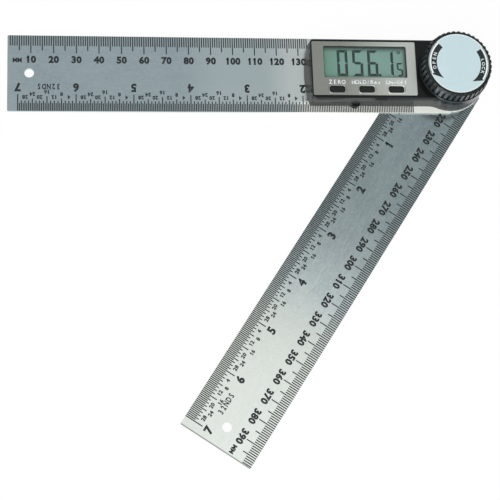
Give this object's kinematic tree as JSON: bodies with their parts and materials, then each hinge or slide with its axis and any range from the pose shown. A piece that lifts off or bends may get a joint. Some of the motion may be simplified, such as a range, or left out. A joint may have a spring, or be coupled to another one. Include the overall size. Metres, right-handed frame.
{
  "type": "digital protractor",
  "caption": "Two flat steel rules hinged face to face, with a digital readout head on the upper rule and a ribbed lock knob over the pivot.",
  "frame": {"origin": "pivot axis at the underside of the pivot flange", "axes": "+Z along the pivot axis, from the flange up to the knob; -X along the upper rule to its free end; +Y to the rule's edge at the top of the display"},
  "size_m": [0.217, 0.1925, 0.0204],
  "materials": {
    "rule_steel": "long brushed grain along the rule, etched black scales",
    "turned_steel": "turned steel",
    "white_polymer": "white moulded plastic",
    "brass": "turned brass",
    "circuit_board": "green solder mask on glass-filled board",
    "knob_plastic": "black moulded plastic, satin",
    "disc_face": "pale blue-white printed face",
    "head_plastic": "black moulded plastic, polished",
    "plated_screws": "nickel-plated steel",
    "plate_metal": "warm grey satin printed plate",
    "clear_window": "clear acrylic",
    "lcd_glass": "grey-green liquid crystal glass",
    "contact_rubber": "layered conductive rubber",
    "chip_resin": "black potting resin",
    "capacitor_ceramic": "tan ceramic",
    "switch_metal": "stamped metal dome",
    "spring_metal": "nickel-plated spring strip",
    "clear_film": "amber insulating film",
    "cell_steel": "nickel-plated steel can",
    "button_plastic": "black moulded plastic"
  },
  "bodies": {
    "lower_arm": {"lower_rule": "rule_steel", "pivot_hub": "turned_steel", "rule_washer": "white_polymer", "rotor_sleeve": "brass", "encoder_rotor": "circuit_board", "retaining_clip": "turned_steel"},
    "upper_arm": {"upper_rule": "rule_steel", "head_housing": "head_plastic", "housing_screws": "plated_screws", "readout_plate": "plate_metal", "lcd_window": "clear_window", "lcd_panel": "lcd_glass", "lcd_holder": "white_polymer", "zebra_strip": "contact_rubber", "main_board": "circuit_board", "board_screws": "plated_screws", "chip_blob": "chip_resin", "capacitors": "capacitor_ceramic", "key_switches": "switch_metal", "contact_positive": "spring_metal", "contact_negative": "spring_metal", "insulating_film": "clear_film"},
    "thrust_washer": {"lock_washer": "turned_steel"},
    "lock_knob": {"knob_body": "knob_plastic", "knob_insert": "brass", "knob_disc": "disc_face"},
    "zero_key": {"zero_button": "button_plastic"},
    "hold_key": {"hold_button": "button_plastic"},
    "power_key": {"power_button": "button_plastic"},
    "tray": {"battery_tray": "head_plastic", "coin_cell": "cell_steel"}
  },
  "joints": [
    {"name": "fold", "type": "hinge", "parent": "lower_arm", "child": "upper_arm", "pos_m": [0, 0, 0.00283], "axis": [0, 0, 1], "continuous": true},
    {"name": "knob_rise", "type": "slide", "parent": "lower_arm", "child": "thrust_washer", "axis": [0, 0, 1], "range_m": [0, 0.001]},
    {"name": "knob_turn", "type": "hinge", "parent": "thrust_washer", "child": "lock_knob", "pos_m": [0, 0, 0.0141], "axis": [0, 0, 1], "range_deg": [0, 360]},
    {"name": "zero_press", "type": "slide", "parent": "upper_arm", "child": "zero_key", "axis": [0, 0, -1], "range_m": [0, 0.0004], "stiffness_N_per_m": 2500},
    {"name": "hold_press", "type": "slide", "parent": "upper_arm", "child": "hold_key", "axis": [0, 0, -1], "range_m": [0, 0.0004], "stiffness_N_per_m": 2500},
    {"name": "power_press", "type": "slide", "parent": "upper_arm", "child": "power_key", "axis": [0, 0, -1], "range_m": [0, 0.0004], "stiffness_N_per_m": 2500},
    {"name": "tray_slide", "type": "slide", "parent": "upper_arm", "child": "tray", "axis": [0, -1, 0], "range_m": [0, 0.0225]}
  ],
  "couplings": [
    {"joint": "knob_turn", "follows": "knob_rise", "rad_per_m": 6283.2}
  ]
}
